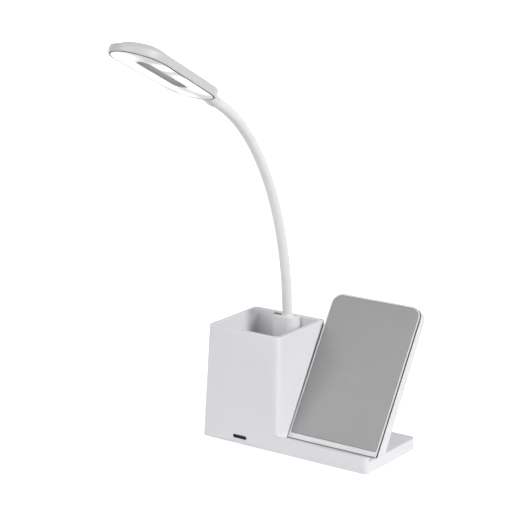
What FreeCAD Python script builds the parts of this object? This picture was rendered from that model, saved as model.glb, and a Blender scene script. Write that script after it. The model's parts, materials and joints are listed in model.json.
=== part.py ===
import FreeCAD, Part
import math
import os
import Sketcher
from FreeCAD import Placement, Rotation, Vector

# Desk lamp with a pen cup, a leaning charging stand and a bending neck.
# Frame: +Z up, -Y to the front, origin on the desk under the middle of the base.

os.makedirs("parts", exist_ok=True)
document = FreeCAD.newDocument("DeskLamp")

SIZES = {
    # Base plate and lip
    "base_width": 151.0,
    "base_depth": 70.0,
    "plate_height": 9.3,
    "base_wall": 2.4,
    "plate_skin": 2.2,
    "corner_radius": 4.0,
    "lip_height": 12.7,
    "lip_thickness": 3.2,
    # Pen cup
    "cup_width": 72.0,
    "cup_height": 89.3,
    "cup_wall": 3.6,
    "cup_inset_left": 3.8,
    "cup_inset_right": 1.8,
    "cup_inset_front": 3.3,
    "cup_inset_rear": 3.2,
    "cup_inner_radius": 4.5,
    "pillar_width": 22.0,
    "pillar_depth": 10.4,
    "pillar_radius": 7.0,
    "pillar_reach_left": 13.2,
    "pillar_top": 5.0,
    # Underside
    "mat_thickness": 0.8,
    "mat_proud": 0.6,
    "mat_margin": 7.0,
    "mat_radius": 6.0,
    "cover_thickness": 1.8,
    "cover_fit": 0.2,
    "post_radius": 2.8,
    "post_inset": 8.0,
    "screw_radius": 1.0,
    "screw_fit": 0.1,
    "screw_head_radius": 1.9,
    "screw_head_height": 0.7,
    "screw_length": 5.0,
    # Counterweight and boards
    "weight_west_gap": 1.7,
    "weight_front_gap": 7.9,
    "weight_thickness": 4.9,
    "weight_gap": 4.0,
    "board_side_gap": 13.0,
    "board_depth": 22.0,
    "board_thickness": 1.2,
    "board_gap": 0.3,
    "inlet_board_width": 18.0,
    "inlet_board_depth": 12.0,
    # Sockets
    "port_inset": 35.9,
    "port_rise": 5.6,
    "port_width": 12.2,
    "port_slot_height": 2.5,
    "port_radius": 1.0,
    "port_depth": 9.0,
    "port_shell": 0.4,
    "port_recess": 0.5,
    "port_fit": 0.15,
    "tongue_thickness": 0.8,
    "tongue_setback": 1.2,
    "inlet_inset": 26.0,
    "inlet_width": 9.0,
    "inlet_height": 3.1,
    "inlet_depth": 7.5,
    # Charging stand
    "stand_lean_angle": 32.5,
    "stand_foot": 13.2,
    "stand_foot_depth": 13.0,
    "stand_length": 118.0,
    "stand_top_depth": 8.0,
    "stand_gap": 0.3,
    "stand_radius": 8.7,
    "stand_wall": 3.5,
    "stand_back_wall": 2.2,
    "stand_sole": 4.2,
    "frame_thickness": 1.4,
    "frame_border": 1.3,
    "frame_foot_border": 4.0,
    "frame_floor": 0.5,
    "pad_proud": 0.1,
    "pad_fit": 0.15,
    "pad_foot_radius": 1.5,
    "stand_screw_inset": 16.0,
    "stand_screw_setback": 6.6,
    "stand_screw_length": 3.4,
    # Charging coil
    "coil_gap": 5.0,
    "coil_thickness": 1.2,
    "ferrite_thickness": 0.8,
    "part_gap": 0.2,
    "coil_board_side_gap": 13.85,
    "coil_board_depth": 18.0,
    "coil_board_centre": 22.0,
    # Touch key
    "key_offset": 8.6,
    "key_length": 7.0,
    "key_width": 2.4,
    "key_thickness": 1.0,
    "key_proud": 0.15,
    "key_fit": 0.15,
    "electrode_thickness": 0.4,
    # Neck
    "neck_inset": 39.8,
    "neck_setback": 11.2,
    "neck_radius": 4.0,
    "core_radius": 2.5,
    "core_fit": 0.1,
    "sleeve_fit": 0.15,
    "cup_setback": 1.5,
    "sleeve_setback": 1.6,
    "bore_radius": 4.6,
    "nut_radius": 4.2,
    "nut_thickness": 3.0,
    "stem_length": 10.0,
    "ferrule_radius": 4.9,
    "ferrule_height": 0.9,
    "ferrule_fit": 0.15,
    "neck_lean_angle": 3.5,
    "root_length": 16.0,
    "low_length": 20.3,
    "low_turn_angle": 5.0,
    "middle_length": 58.9,
    "middle_turn_angle": 13.0,
    "upper_length": 60.0,
    "upper_turn_angle": 17.0,
    "end_length": 58.0,
    "end_turn_angle": 24.8,
    # Lamp head
    "head_back_centre": 32.5,
    "head_back_radius": 19.9,
    "head_front_centre": 92.1,
    "head_front_radius": 23.1,
    "head_thickness": 7.4,
    "head_rise": 0.4,
    "head_skin": 1.6,
    "head_wall": 1.3,
    "head_edge_radius": 1.8,
    "hole_back_centre": 45.5,
    "hole_front_centre": 86.9,
    "hole_radius": 5.3,
    "hole_wall": 1.1,
    "window_start": 24.5,
    "diffuser_thickness": 1.4,
    "diffuser_fit": 0.25,
    "diffuser_inset": 0.2,
    "led_board_thickness": 1.0,
    "led_board_gap": 0.3,
    "led_length": 3.0,
    "led_width": 2.6,
    "led_height": 0.8,
    "led_side": 13.6,
    "led_tip_side": 7.0,
    "led_tip_gap": 10.5,
    "socket_start": 2.2,
    "socket_fit": 0.1,
    "socket_end_wall": 1.2,
    "head_screw_side": 9.5,
    "head_screw_gap": 7.0,
    "head_screw_length": 0.9,
    # One overrun for every cut
    "overrun": 1.0,
}

COVER_SCREWS = (("1", -1, -1), ("2", 1, -1), ("3", -1, 1), ("4", 1, 1))
STAND_SCREWS = (("left", -1), ("right", 1))
LED_ARM_SHARES = (0.0, 0.33, 0.67, 1.0)
HEAD_TAIL_SHARE = 0.97

# The coil's disc as a share of the room in the stand, and the coil as shares of its disc
FERRITE_SHARE = 0.725
COIL_SHARE = 0.92
COIL_BORE_SHARE = 0.42

sheet = document.addObject("Spreadsheet::Sheet", "Sizes")
for row, (alias, value) in enumerate(SIZES.items(), start=1):
    sheet.set("A%d" % row, alias)
    sheet.set("B%d" % row, str(value))
    sheet.setAlias("B%d" % row, alias)
document.recompute()


# A length that knows both its value and the expression that binds it to the sheet.
class Measure:
    def __init__(self, value, text):
        self.value = value
        self.text = text

    def joined(self, other, sign, value):
        return Measure(value, "(%s %s %s)" % (self.text, sign, measure(other).text))

    def __add__(self, other):
        return self.joined(other, "+", self.value + measure(other).value)

    def __sub__(self, other):
        return self.joined(other, "-", self.value - measure(other).value)

    def __mul__(self, other):
        return self.joined(other, "*", self.value * measure(other).value)

    def __truediv__(self, other):
        return self.joined(other, "/", self.value / measure(other).value)

    def __neg__(self):
        return Measure(-self.value, "(0 - %s)" % self.text)


def measure(value):
    return value if isinstance(value, Measure) else Measure(float(value), repr(float(value)))


def size(alias):
    return Measure(float(sheet.get(alias)), "Sizes." + alias)


def sine(alias):
    return Measure(math.sin(math.radians(sheet.get(alias))), "sin(Sizes.%s * 1deg)" % alias)


def cosine(alias):
    return Measure(math.cos(math.radians(sheet.get(alias))), "cos(Sizes.%s * 1deg)" % alias)


ZERO = measure(0)

# Levels and edges that several pieces share
floor_level = size("mat_proud")
plate_top = floor_level + size("plate_height")
cavity_top = plate_top - size("plate_skin")
cup_top = floor_level + size("cup_height")
cover_top = floor_level + size("cover_thickness")
base_left = -size("base_width") / 2
base_right = size("base_width") / 2
base_front = -size("base_depth") / 2
base_rear = size("base_depth") / 2
cup_right = base_left + size("cup_width")
stand_left = cup_right + size("stand_gap")
stand_width = base_right - stand_left
stand_middle = (base_right + stand_left) / 2
seam_foot = base_front + size("stand_foot")
neck_x = base_left + size("neck_inset")
neck_y = base_rear - size("neck_setback")


# Sketch and feature helpers
def new_body(label):
    body = document.addObject("PartDesign::Body", label)
    body.Label = label
    return body


def new_sketch(body, height, role="XY_Plane"):
    sketch = body.newObject("Sketcher::SketchObject", body.Label + "_sketch")
    plane = [item for item in body.Origin.OriginFeatures if item.Role == role][0]
    sketch.AttachmentSupport = (plane, "")
    sketch.MapMode = "FlatFace"
    sketch.AttachmentOffset = Placement(Vector(0, 0, measure(height).value), Rotation())
    sketch.setExpression("AttachmentOffset.Base.z", measure(height).text)
    return sketch


# Recomputes and stops at the first feature that is not sound
def settle(feature):
    document.recompute()
    if "Invalid" in feature.State or "Error" in feature.State or feature.Shape.isNull():
        raise RuntimeError("%s failed: %s" % (feature.Name, feature.getStatusString()))
    return feature


def hold(sketch, kind, place, length):
    index = sketch.addConstraint(Sketcher.Constraint(kind, *place, measure(length).value))
    sketch.setExpression("Constraints[%d]" % index, measure(length).text)


def hold_point(sketch, edge, end, x, y):
    hold(sketch, "DistanceX", (-1, 1, edge, end), x)
    hold(sketch, "DistanceY", (-1, 1, edge, end), y)


def draw_polygon(sketch, points):
    first = sketch.GeometryCount
    spots = [Vector(measure(x).value, measure(y).value, 0) for x, y in points]
    for index, spot in enumerate(spots):
        sketch.addGeometry(Part.LineSegment(spot, spots[(index + 1) % len(spots)]), False)
    for index, (x, y) in enumerate(points):
        following = first + (index + 1) % len(points)
        sketch.addConstraint(Sketcher.Constraint("Coincident", first + index, 2, following, 1))
        hold_point(sketch, first + index, 1, x, y)


def draw_rectangle(sketch, west, east, south, north):
    draw_polygon(sketch, [(west, south), (east, south), (east, north), (west, north)])


# A rectangle with round corners; the two at the south end may have a radius of their own
def draw_rounded(sketch, west, east, south, north, radius, south_radius=None):
    lower = radius if south_radius is None else south_radius
    corners = [
        (east - radius, north - radius, radius),
        (west + radius, north - radius, radius),
        (west + lower, south + lower, lower),
        (east - lower, south + lower, lower),
    ]
    first = sketch.GeometryCount
    quarter = math.pi / 2
    starts = []
    ends = []
    for index, (x, y, bend) in enumerate(corners):
        centre = Vector(x.value, y.value, 0)
        circle = Part.Circle(centre, Vector(0, 0, 1), bend.value)
        turn = index * quarter
        sketch.addGeometry(Part.ArcOfCircle(circle, turn, turn + quarter), False)
        starts.append(circle.value(turn))
        ends.append(circle.value(turn + quarter))
    for index in range(len(corners)):
        following = (index + 1) % len(corners)
        sketch.addGeometry(Part.LineSegment(ends[index], starts[following]), False)
    sides = first + len(corners)
    for index, (x, y, bend) in enumerate(corners):
        following = first + (index + 1) % len(corners)
        sketch.addConstraint(Sketcher.Constraint("Tangent", first + index, 2, sides + index, 1))
        sketch.addConstraint(Sketcher.Constraint("Tangent", sides + index, 2, following, 1))
        hold_point(sketch, first + index, 3, x, y)
        hold(sketch, "Radius", (first + index,), bend)


def draw_circle(sketch, x, y, radius):
    centre = Vector(measure(x).value, measure(y).value, 0)
    index = sketch.addGeometry(Part.Circle(centre, Vector(0, 0, 1), measure(radius).value), False)
    hold_point(sketch, index, 3, x, y)
    hold(sketch, "Radius", (index,), radius)


# A slot along -Y whose two round ends may differ in radius, with straight tangent sides.
def draw_slot(sketch, back, back_radius, front, front_radius):
    back, back_radius = measure(back), measure(back_radius)
    front, front_radius = measure(front), measure(front_radius)
    widening = math.asin((front_radius.value - back_radius.value) / (front.value - back.value))
    ends = []
    for centre, radius in ((back, back_radius), (front, front_radius)):
        across = radius.value * math.cos(widening)
        along = -centre.value + radius.value * math.sin(widening)
        ends.append((Vector(across, along, 0), Vector(-across, along, 0)))
    back_tip = Vector(0, back_radius.value - back.value, 0)
    front_tip = Vector(0, -front_radius.value - front.value, 0)
    edges = [
        Part.Arc(ends[0][0], back_tip, ends[0][1]),
        Part.LineSegment(ends[0][1], ends[1][1]),
        Part.Arc(ends[1][1], front_tip, ends[1][0]),
        Part.LineSegment(ends[1][0], ends[0][0]),
    ]
    first = sketch.GeometryCount
    for edge in edges:
        sketch.addGeometry(edge, False)
    for index in range(len(edges)):
        following = first + (index + 1) % len(edges)
        sketch.addConstraint(Sketcher.Constraint("Tangent", first + index, 2, following, 1))
    for offset, centre, radius in ((0, back, back_radius), (2, front, front_radius)):
        hold_point(sketch, first + offset, 3, ZERO, -centre)
        hold(sketch, "Radius", (first + offset,), radius)


def pad(body, sketch, length, backwards=False):
    feature = body.newObject("PartDesign::Pad", body.Label + "_pad")
    feature.Profile = sketch
    feature.Length = measure(length).value
    feature.setExpression("Length", measure(length).text)
    feature.Reversed = backwards
    return settle(feature)


# A pocket goes against the sketch's normal unless it is told to go along it.
def pocket(body, sketch, length, along=True):
    before = body.Shape.Volume
    feature = body.newObject("PartDesign::Pocket", body.Label + "_pocket")
    feature.Profile = sketch
    feature.Length = measure(length).value
    feature.setExpression("Length", measure(length).text)
    feature.Reversed = along
    settle(feature)
    if not body.Shape.Volume < before:
        raise RuntimeError("a pocket of %s cuts nothing" % body.Label)
    return feature


def loft(body, sketches, kind):
    feature = body.newObject("PartDesign::" + kind, body.Label + "_loft")
    feature.Profile = sketches[0]
    feature.Sections = sketches[1:]
    feature.Ruled = False
    return settle(feature)


def round_edges(body, feature, radius, wanted):
    names = ["Edge%d" % (index + 1) for index, edge in enumerate(feature.Shape.Edges) if wanted(edge)]
    if not names:
        raise RuntimeError("no edge of %s fits the rounding" % body.Label)
    rounding = body.newObject("PartDesign::Fillet", body.Label + "_rounding")
    rounding.Base = (feature, names)
    rounding.Radius = measure(radius).value
    rounding.setExpression("Radius", measure(radius).text)
    return settle(rounding)


def ends_of(edge):
    return [edge.valueAt(edge.FirstParameter), edge.valueAt(edge.LastParameter)]


def upright(edge):
    first, last = ends_of(edge)
    span = (last - first).Length
    return near(edge.Length, span) and abs(last.z - first.z) > span / 2


def near(value, goal):
    return abs(value - measure(goal).value) < measure(size("overrun")).value / 20


def plate(label, west, east, south, north, low, thickness, radius=None):
    body = new_body(label)
    sketch = new_sketch(body, low)
    draw_rectangle(sketch, west, east, south, north)
    feature = pad(body, sketch, thickness)
    if radius is not None:
        feature = round_edges(body, feature, radius, upright)
    return body


def put(body, x, y, z, tilt=0):
    body.Placement = Placement(
        Vector(measure(x).value, measure(y).value, measure(z).value),
        Rotation(Vector(1, 0, 0), tilt),
    )


def cut_slot_hole(body, low, length, back, back_radius, front, front_radius):
    sketch = new_sketch(body, low)
    draw_slot(sketch, back, back_radius, front, front_radius)
    return pocket(body, sketch, length)


# A round piece about an upright axis, with an optional bore, as plain solids
def ring(label, x, y, low, height, radius, bore=None):
    disc = document.addObject("Part::Cylinder", label + "_disc" if bore is not None else label)
    disc.setExpression("Radius", measure(radius).text)
    disc.setExpression("Height", measure(height).text)
    piece = disc
    if bore is not None:
        hole = document.addObject("Part::Cylinder", label + "_bore")
        hole.setExpression("Radius", measure(bore).text)
        hole.setExpression("Height", measure(height).text)
        piece = document.addObject("Part::Cut", label)
        piece.Base = disc
        piece.Tool = hole
    piece.Label = label
    piece.Placement = Placement(
        Vector(measure(x).value, measure(y).value, measure(low).value), Rotation()
    )
    document.recompute()
    return piece


pieces = []


def keep(piece):
    pieces.append(piece)
    return piece


# Screw places
def cover_screw_spots():
    inset = size("post_inset")
    for name, across, along in COVER_SCREWS:
        x = base_left + inset if across < 0 else base_right - inset
        y = base_front + inset if along < 0 else base_rear - inset
        yield name, x, y


def stand_screw_spots():
    for name, across in STAND_SCREWS:
        inset = size("stand_screw_inset")
        x = stand_left + inset if across < 0 else base_right - inset
        yield name, x, seam_foot + size("stand_screw_setback")


# How far a wall of the cup has leaned in at a level
def lean_at(alias, level):
    return size(alias) * (level - floor_level) / size("cup_height")


def cup_outline(sketch, level, inset, radius):
    draw_rounded(
        sketch,
        base_left + lean_at("cup_inset_left", level) + inset,
        cup_right - lean_at("cup_inset_right", level) - inset,
        base_front + lean_at("cup_inset_front", level) + inset,
        base_rear - lean_at("cup_inset_rear", level) - inset,
        radius,
    )


# Moulded housing: pen cup, base plate and the lip in front of the stand
def make_housing():
    body = new_body("housing")
    outlines = []
    for level in (floor_level, cup_top):
        outline = new_sketch(body, level)
        cup_outline(outline, level, ZERO, size("corner_radius"))
        outlines.append(outline)
    loft(body, outlines, "AdditiveLoft")

    # The plate and its lip, seen from the side: front and rear lean in as the cup's walls do, and
    # they start in the flat part of the cup, so the fronts are one plane
    plate_start = cup_right - size("cup_wall") - size("corner_radius")
    lip_top = floor_level + size("lip_height")
    lip_rear = base_front + size("lip_thickness")
    outline = new_sketch(body, plate_start, "YZ_Plane")
    profile = [
        (base_front, floor_level),
        (base_rear, floor_level),
        (base_rear - lean_at("cup_inset_rear", plate_top), plate_top),
        (lip_rear, plate_top),
        (lip_rear, lip_top),
        (base_front + lean_at("cup_inset_front", lip_top), lip_top),
    ]
    draw_polygon(outline, profile)
    feature = pad(body, outline, base_right - plate_start)

    def right_corner(edge):
        first, last = ends_of(edge)
        return upright(edge) and near(first.x, base_right) and near(last.x, base_right) and (
            near(min(first.y, last.y), base_front) or near(max(first.y, last.y), base_rear)
        )

    round_edges(body, feature, size("corner_radius"), right_corner)

    inner = []
    for level in (plate_top, cup_top):
        outline = new_sketch(body, level)
        cup_outline(outline, level, size("cup_wall"), size("cup_inner_radius"))
        inner.append(outline)
    loft(body, inner, "SubtractiveLoft")

    # Pillar that carries the neck, inside the rear wall
    pillar_left = neck_x - size("pillar_reach_left")
    pillar_right = pillar_left + size("pillar_width")
    rear_inside = base_rear - size("cup_inset_rear") - size("cup_wall") / 2
    pillar_front = base_rear - size("cup_inset_rear") - size("cup_wall") - size("pillar_depth")
    outline = new_sketch(body, plate_top)
    draw_rectangle(outline, pillar_left, pillar_right, pillar_front, rear_inside)
    feature = pad(body, outline, cup_top - plate_top)

    def pillar_corner(edge):
        first, last = ends_of(edge)
        return upright(edge) and near(first.y, pillar_front) and near(last.y, pillar_front)

    round_edges(body, feature, size("pillar_radius"), pillar_corner)

    # Hollow for the boards and the weight, open below
    wall = size("base_wall")
    outline = new_sketch(body, floor_level)
    draw_rectangle(outline, base_left + wall, base_right - wall, base_front + wall, base_rear - wall)
    pocket(body, outline, size("plate_height") - size("plate_skin"))

    # Posts for the cover's screws, with a socket for the stand's screws in the plate
    outline = new_sketch(body, cover_top)
    for name, x, y in cover_screw_spots():
        draw_circle(outline, x, y, size("post_radius"))
    pad(body, outline, cavity_top - cover_top)
    outline = new_sketch(body, floor_level)
    for name, x, y in cover_screw_spots():
        draw_circle(outline, x, y, size("screw_radius") + size("screw_fit"))
    pocket(body, outline, cavity_top - floor_level)
    outline = new_sketch(body, cavity_top)
    for name, x, y in stand_screw_spots():
        draw_circle(outline, x, y, size("screw_radius") + size("screw_fit"))
    pocket(body, outline, size("plate_skin"))

    # Bore of the pillar, its seat for the neck's stem, and the touch key's recess
    outline = new_sketch(body, cavity_top)
    draw_circle(outline, neck_x, neck_y, size("bore_radius"))
    pocket(body, outline, cup_top - size("pillar_top") - cavity_top)
    outline = new_sketch(body, cup_top - size("pillar_top"))
    draw_circle(outline, neck_x, neck_y, size("core_radius") + size("core_fit"))
    pocket(body, outline, size("pillar_top"))
    recess = size("key_thickness") - size("key_proud") + size("electrode_thickness")
    outline = new_sketch(body, cup_top - recess)
    draw_key_outline(outline, size("key_fit"))
    pocket(body, outline, recess)

    # Slots for the front port and the rear inlet
    front = new_sketch(body, -base_front, "XZ_Plane")
    half = size("port_width") / 2 + size("port_fit")
    tall = size("port_slot_height") / 2 + size("port_fit")
    level = floor_level + size("port_rise")
    port_x = base_left + size("port_inset")
    bend = size("port_radius") + size("port_fit")
    draw_rounded(front, port_x - half, port_x + half, level - tall, level + tall, bend)
    pocket(body, front, size("base_wall"), along=False)
    rear = new_sketch(body, -base_rear, "XZ_Plane")
    half = size("inlet_width") / 2 + size("port_fit")
    tall = size("inlet_height") / 2 + size("port_fit")
    level = cavity_top - size("inlet_height") / 2 - size("port_fit")
    inlet_x = base_left + size("inlet_inset")
    draw_rectangle(rear, inlet_x - half, inlet_x + half, level - tall, level + tall)
    pocket(body, rear, size("base_wall"))
    return keep(body)


def draw_key_outline(sketch, spread):
    middle = neck_x - size("key_offset")
    half_length = size("key_length") / 2 + spread
    half_width = size("key_width") / 2 + spread
    draw_rectangle(
        sketch, middle - half_length, middle + half_length, neck_y - half_width, neck_y + half_width
    )


# Bottom cover, the mat under it and the cover's screws
def make_underside():
    gap = size("base_wall") + size("cover_fit")
    cover = plate(
        "bottom_cover",
        base_left + gap,
        base_right - gap,
        base_front + gap,
        base_rear - gap,
        floor_level,
        size("cover_thickness"),
    )
    sink = size("mat_thickness") - size("mat_proud")
    margin = size("mat_margin") - size("cover_fit")
    outline = new_sketch(cover, floor_level)
    draw_rectangle(
        outline, base_left + margin, base_right - margin, base_front + margin, base_rear - margin
    )
    pocket(cover, outline, sink)
    holes = new_sketch(cover, floor_level)
    heads = new_sketch(cover, floor_level)
    for name, x, y in cover_screw_spots():
        draw_circle(holes, x, y, size("screw_radius") + size("screw_fit"))
        draw_circle(heads, x, y, size("screw_head_radius") + size("screw_fit"))
    pocket(cover, holes, size("cover_thickness"))
    pocket(cover, heads, sink + size("screw_head_height"))
    keep(cover)
    margin = size("mat_margin")
    keep(
        plate(
            "anti_slip_mat",
            base_left + margin,
            base_right - margin,
            base_front + margin,
            base_rear - margin,
            ZERO,
            size("mat_thickness"),
            size("mat_radius"),
        )
    )
    for name, x, y in cover_screw_spots():
        make_screw("cover_screw_" + name, x, y, size("mat_thickness"), size("screw_length"))


def make_screw(label, x, y, low, length):
    head = document.addObject("Part::Cylinder", label + "_head")
    head.setExpression("Radius", size("screw_head_radius").text)
    head.setExpression("Height", size("screw_head_height").text)
    shank = document.addObject("Part::Cylinder", label + "_shank")
    shank.setExpression("Radius", size("screw_radius").text)
    shank.setExpression("Height", (length + size("screw_head_height")).text)
    screw = document.addObject("Part::Fuse", label)
    screw.Base = head
    screw.Tool = shank
    screw.Label = label
    put(screw, x, y, low)
    document.recompute()
    return keep(screw)


# Steel plate that keeps the lamp from tipping forward, seated on the cover under the stand
def make_counterweight():
    gap = size("weight_gap")
    west = stand_left - size("weight_west_gap")
    east = base_right - size("base_wall") - size("post_inset") - gap
    south = seam_foot + size("stand_screw_setback") + size("screw_head_radius") + size("weight_front_gap")
    north = base_rear - size("base_wall") - gap / 2
    weight = plate(
        "counterweight",
        west,
        east,
        south,
        north,
        cover_top,
        size("weight_thickness"),
        size("cover_thickness"),
    )
    keep(weight)


# Boards hang under the ceiling of the hollow, each beside its socket
def make_sockets():
    port_x = base_left + size("port_inset")
    level = floor_level + size("port_rise")
    shell = size("port_shell")
    front = base_front + size("port_recess")
    half = size("port_width") / 2
    tall = size("port_slot_height") / 2
    port = new_body("front_port")
    outline = new_sketch(port, -front, "XZ_Plane")
    draw_rounded(outline, port_x - half, port_x + half, level - tall, level + tall, size("port_radius"))
    pad(port, outline, size("port_depth"), backwards=True)
    mouth = new_sketch(port, -front, "XZ_Plane")
    west, east = port_x - half + shell, port_x + half - shell
    bend = size("port_radius") - shell
    draw_rounded(mouth, west, east, level - tall + shell, level + tall - shell, bend)
    pocket(port, mouth, size("port_depth") - shell, along=False)
    keep(port)
    tongue_half = half - shell * 3
    keep(
        plate(
            "port_tongue",
            port_x - tongue_half,
            port_x + tongue_half,
            front + size("tongue_setback"),
            front + size("port_depth") - shell,
            level - size("tongue_thickness") / 2,
            size("tongue_thickness"),
        )
    )
    board_low = level - tall - size("board_thickness")
    board_front = base_front + size("base_wall") + size("board_gap")
    board_half = size("cup_width") / 2 - size("board_side_gap")
    keep(
        plate(
            "main_board",
            port_x - board_half,
            port_x + board_half,
            board_front,
            board_front + size("board_depth"),
            board_low,
            size("board_thickness"),
        )
    )
    inlet_x = base_left + size("inlet_inset")
    inlet_top = cavity_top - size("port_fit")
    half = size("inlet_width") / 2
    rear = base_rear - size("port_recess")
    inlet_low = inlet_top - size("inlet_height")
    inlet = plate(
        "rear_inlet",
        inlet_x - half,
        inlet_x + half,
        rear - size("inlet_depth"),
        rear,
        inlet_low,
        size("inlet_height"),
    )
    mouth = new_sketch(inlet, -rear, "XZ_Plane")
    draw_rectangle(
        mouth, inlet_x - half + shell, inlet_x + half - shell, inlet_low + shell, inlet_top - shell
    )
    pocket(inlet, mouth, size("inlet_depth") - shell)
    keep(inlet)
    board_rear = base_rear - size("base_wall") - size("board_gap")
    keep(
        plate(
            "inlet_board",
            inlet_x - size("inlet_board_width") / 2 + size("board_gap"),
            inlet_x + size("inlet_board_width") / 2,
            board_rear - size("inlet_board_depth"),
            board_rear,
            inlet_low - size("board_thickness"),
            size("board_thickness"),
        )
    )


# Leaning stand: a rear shell, a front frame with a recessed pad, and the coil between them
def slope_point(along, away):
    y = seam_foot + sine("stand_lean_angle") * along + cosine("stand_lean_angle") * away
    z = plate_top + cosine("stand_lean_angle") * along - sine("stand_lean_angle") * away
    return y, z


def make_stand_shell():
    body = new_body("stand_shell")
    outline = new_sketch(body, stand_left, "YZ_Plane")
    draw_polygon(
        outline,
        [
            (seam_foot, plate_top),
            (seam_foot + size("stand_foot_depth"), plate_top),
            slope_point(size("stand_length"), size("stand_top_depth")),
            slope_point(size("stand_length"), ZERO),
        ],
    )
    feature = pad(body, outline, stand_width)
    top_front_y, top_front_z = slope_point(size("stand_length"), ZERO)

    def top_corner(edge):
        first, last = ends_of(edge)
        runs_back = abs(first.x - last.x) < size("overrun").value / 20
        high = max(first.z, last.z) > top_front_z.value - size("overrun").value / 20
        return runs_back and high and near((last - first).Length, size("stand_top_depth"))

    round_edges(body, feature, size("stand_radius"), top_corner)

    # Room for the coil, open towards the frame
    wall = size("stand_wall")
    sole = plate_top + size("stand_sole")
    slant = sine("stand_lean_angle") / cosine("stand_lean_angle")
    front_y = seam_foot + slant * size("stand_sole")
    back_foot_y = seam_foot + size("stand_foot_depth") - size("stand_back_wall") / cosine("stand_lean_angle")
    top = size("stand_length") - wall
    inner_depth = size("stand_top_depth") - size("stand_back_wall")
    hollow = new_sketch(body, stand_left + wall, "YZ_Plane")
    draw_polygon(
        hollow,
        [
            (front_y, sole),
            (back_foot_y + slant * size("stand_sole"), sole),
            slope_point(top, inner_depth),
            slope_point(top, ZERO),
        ],
    )
    pocket(body, hollow, stand_width - wall * 2)
    seats = new_sketch(body, plate_top)
    for name, x, y in stand_screw_spots():
        draw_circle(seats, x, y, size("screw_radius") + size("screw_fit"))
    pocket(body, seats, size("stand_screw_length") - size("plate_skin") + size("screw_fit"))
    keep(body)
    for name, x, y in stand_screw_spots():
        make_screw(
            "stand_screw_" + name,
            x,
            y,
            cavity_top - size("screw_head_height"),
            size("stand_screw_length"),
        )


def put_on_slope(body):
    put(body, ZERO, seam_foot, plate_top, 90 - sheet.get("stand_lean_angle"))


# A sheet lying on the slope with rounded corners; heights count from the seam
def make_stand_front():
    frame = new_body("stand_frame")
    outline = new_sketch(frame, ZERO)
    draw_rectangle(outline, stand_left, base_right, ZERO, size("stand_length"))
    feature = pad(frame, outline, size("frame_thickness"))

    def top_corner(edge):
        first, last = ends_of(edge)
        return upright(edge) and near(first.y, size("stand_length"))

    round_edges(frame, feature, size("stand_radius"), top_corner)
    border = size("frame_border")
    west, east = stand_left + border, base_right - border
    foot, top = size("frame_foot_border"), size("stand_length") - border
    radius = size("stand_radius") - border
    recess = new_sketch(frame, size("frame_floor"))
    draw_rounded(recess, west, east, foot, top, radius, size("pad_foot_radius"))
    pocket(frame, recess, size("frame_thickness") - size("frame_floor"))
    put_on_slope(frame)
    keep(frame)

    fit = size("pad_fit")
    cover = new_body("stand_pad")
    outline = new_sketch(cover, size("frame_floor"))
    draw_rounded(
        outline,
        west + fit,
        east - fit,
        foot + fit,
        top - fit,
        radius - fit,
        size("pad_foot_radius") - fit,
    )
    pad(cover, outline, size("frame_thickness") - size("frame_floor") + size("pad_proud"))
    put_on_slope(cover)
    keep(cover)


def make_coil():
    gap = size("part_gap")
    room = stand_width / 2 - size("stand_wall")
    ferrite_radius = room * measure(FERRITE_SHARE)
    coil_radius = ferrite_radius * measure(COIL_SHARE)
    board_centre = size("coil_board_centre")
    board_top = board_centre + size("coil_board_depth") / 2
    coil_centre = board_top + size("coil_gap") + ferrite_radius
    layers = (
        ("charging_coil", coil_radius, size("coil_thickness"), coil_radius * measure(COIL_BORE_SHARE)),
        ("ferrite_disc", ferrite_radius, size("ferrite_thickness"), None),
    )
    depth = gap
    for label, radius, thickness, bore in layers:
        depth = depth + thickness
        body = new_body(label)
        outline = new_sketch(body, -depth)
        draw_circle(outline, stand_middle, coil_centre, radius)
        if bore is not None:
            draw_circle(outline, stand_middle, coil_centre, bore)
        pad(body, outline, thickness)
        put_on_slope(body)
        keep(body)
        depth = depth + gap
    half = room - size("coil_board_side_gap")
    board = plate(
        "coil_board",
        stand_middle - half,
        stand_middle + half,
        board_centre - size("coil_board_depth") / 2,
        board_top,
        -(gap + size("board_thickness")),
        size("board_thickness"),
    )
    put_on_slope(board)
    keep(board)


# Touch key on the pillar's top, left of the neck, over its sensing plate
def make_touch_key():
    top = cup_top + size("key_proud")
    body = new_body("touch_key")
    outline = new_sketch(body, top - size("key_thickness"))
    draw_key_outline(outline, ZERO)
    pad(body, outline, size("key_thickness"))
    keep(body)
    electrode = new_body("touch_electrode")
    outline = new_sketch(electrode, top - size("key_thickness") - size("electrode_thickness"))
    draw_key_outline(outline, ZERO)
    pad(electrode, outline, size("electrode_thickness"))
    keep(electrode)


# Neck: a chain of gentle arcs in the plane x = neck_x. Angles are measured from upright.
class Station:
    def __init__(self, y, z, angle):
        self.y = y
        self.z = z
        self.angle = angle

    def place(self):
        return Vector(neck_x.value, self.y, self.z)

    def heading(self):
        turn = math.radians(self.angle)
        return Vector(0, -math.sin(turn), math.cos(turn))

    # The place reached after a run along an arc that turns the neck forward
    def onward(self, length, turn):
        if turn == 0:
            step = self.heading() * length
            return Station(self.y + step.y, self.z + step.z, self.angle)
        radius = length / math.radians(turn)
        start = math.radians(self.angle)
        end = math.radians(self.angle + turn)
        y = self.y + radius * (math.cos(end) - math.cos(start))
        z = self.z + radius * (math.sin(end) - math.sin(start))
        return Station(y, z, self.angle + turn)


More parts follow.
